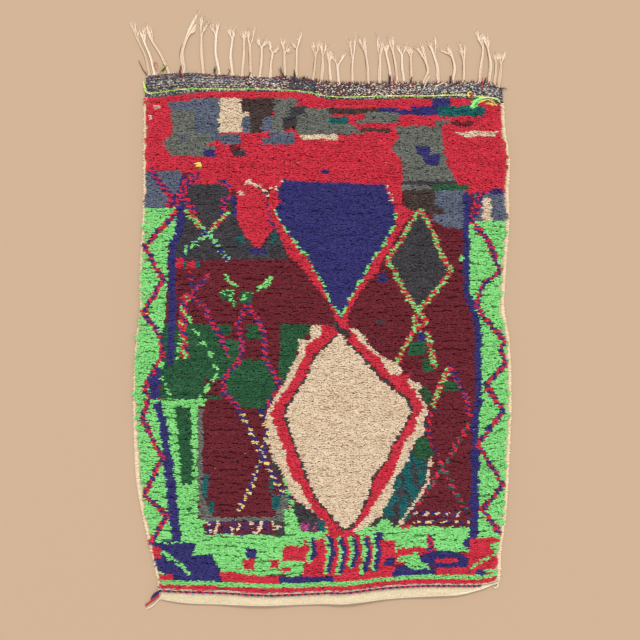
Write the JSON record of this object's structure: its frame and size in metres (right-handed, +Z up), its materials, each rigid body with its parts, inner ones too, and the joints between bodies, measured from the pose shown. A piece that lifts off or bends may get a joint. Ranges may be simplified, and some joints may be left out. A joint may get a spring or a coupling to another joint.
{
  "type": "small knotted-pile wool rug",
  "caption": "Flat rectangular rug with a low shaggy knotted pile, a woven ground with plain ends, twined end lines and a warp fringe along one end.",
  "frame": {"origin": "on the floor, under the middle of the rug's whole box, fringe and loose corner included", "axes": "+Y along the warps from the plain hem to the fringed end, +X across the rug, +Z up out of the pile"},
  "size_m": [0.9524, 1.4904, 0.0137],
  "materials": {
    "woven_ground": "undyed cotton and wool plain weave, matte, with a band of dark salt-and-pepper wefts at the fringed end",
    "pile_yarn": "hand-knotted wool pile in rows, matte and lumpy, many dyed colours with red and wine the largest",
    "warp_yarn": "undyed two-ply warp yarn, twisted in bundles, matte",
    "lime_yarn": "lime and yellow dyed wool yarn, twined, matte",
    "twined_yarn": "red and navy dyed wool yarns, twined two by two, matte"
  },
  "bodies": {
    "root": {"ground_weave": "woven_ground", "knotted_pile": "pile_yarn", "warp_fringe": "warp_yarn", "lime_twining": "lime_yarn", "end_twining": "twined_yarn"}
  },
  "joints": []
}
